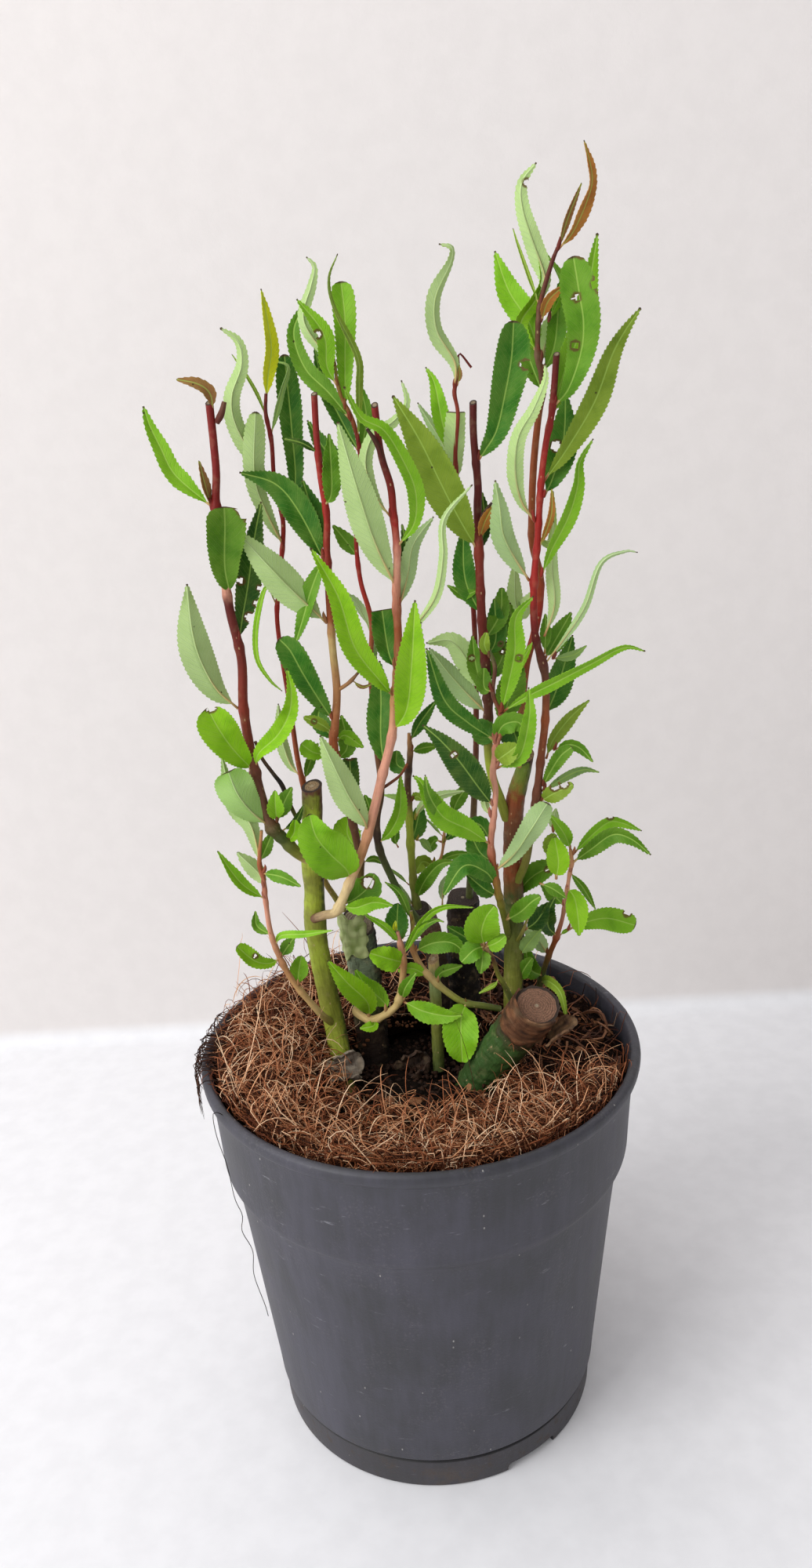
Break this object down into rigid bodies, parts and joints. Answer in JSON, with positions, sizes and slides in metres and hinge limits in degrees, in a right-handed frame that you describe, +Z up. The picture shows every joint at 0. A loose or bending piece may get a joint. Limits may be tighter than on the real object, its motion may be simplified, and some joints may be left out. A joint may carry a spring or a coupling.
{
  "type": "potted willow",
  "caption": "Potted contorted willow: leafy rods growing from cut stakes, with soil and a coir mulch, in a tapered nursery pot.",
  "frame": {"origin": "middle of the pot's underside, on the ground plane", "axes": "+Z up along the pot's axis, -Y towards the front of the plant, +X to its right"},
  "size_m": [0.1948, 0.19, 0.524],
  "materials": {
    "pot": "dusty blue-grey moulded plastic",
    "soil": "dark damp potting soil",
    "mulch": "tan coir fibre",
    "cutting": "green young bark",
    "stake": "dark green to black bark, brown cut faces",
    "shoot": "red-brown bark and green leaves"
  },
  "bodies": {
    "root": {"back_stake": "stake", "coir_mulch": "mulch", "front_stake": "stake", "knob_stake": "stake", "left_cutting": "cutting", "left_dark_stake": "stake", "pale_stub": "cutting", "pot": "pot", "right_cutting": "cutting", "shoot_centre_left": "shoot", "shoot_centre_short": "shoot", "shoot_centre_thin": "shoot", "shoot_left_inner": "shoot", "shoot_left_tall": "shoot", "shoot_low_centre": "shoot", "shoot_low_far_right": "shoot", "shoot_low_fork": "shoot", "shoot_low_left": "shoot", "shoot_low_right": "shoot", "shoot_mid_bud": "shoot", "shoot_mid_rod": "shoot", "shoot_right_back": "shoot", "shoot_right_red": "shoot", "shoot_sinuous": "shoot", "shoot_small_pale": "shoot", "shoot_thin_red": "shoot", "soil": "soil"}
  },
  "joints": []
}
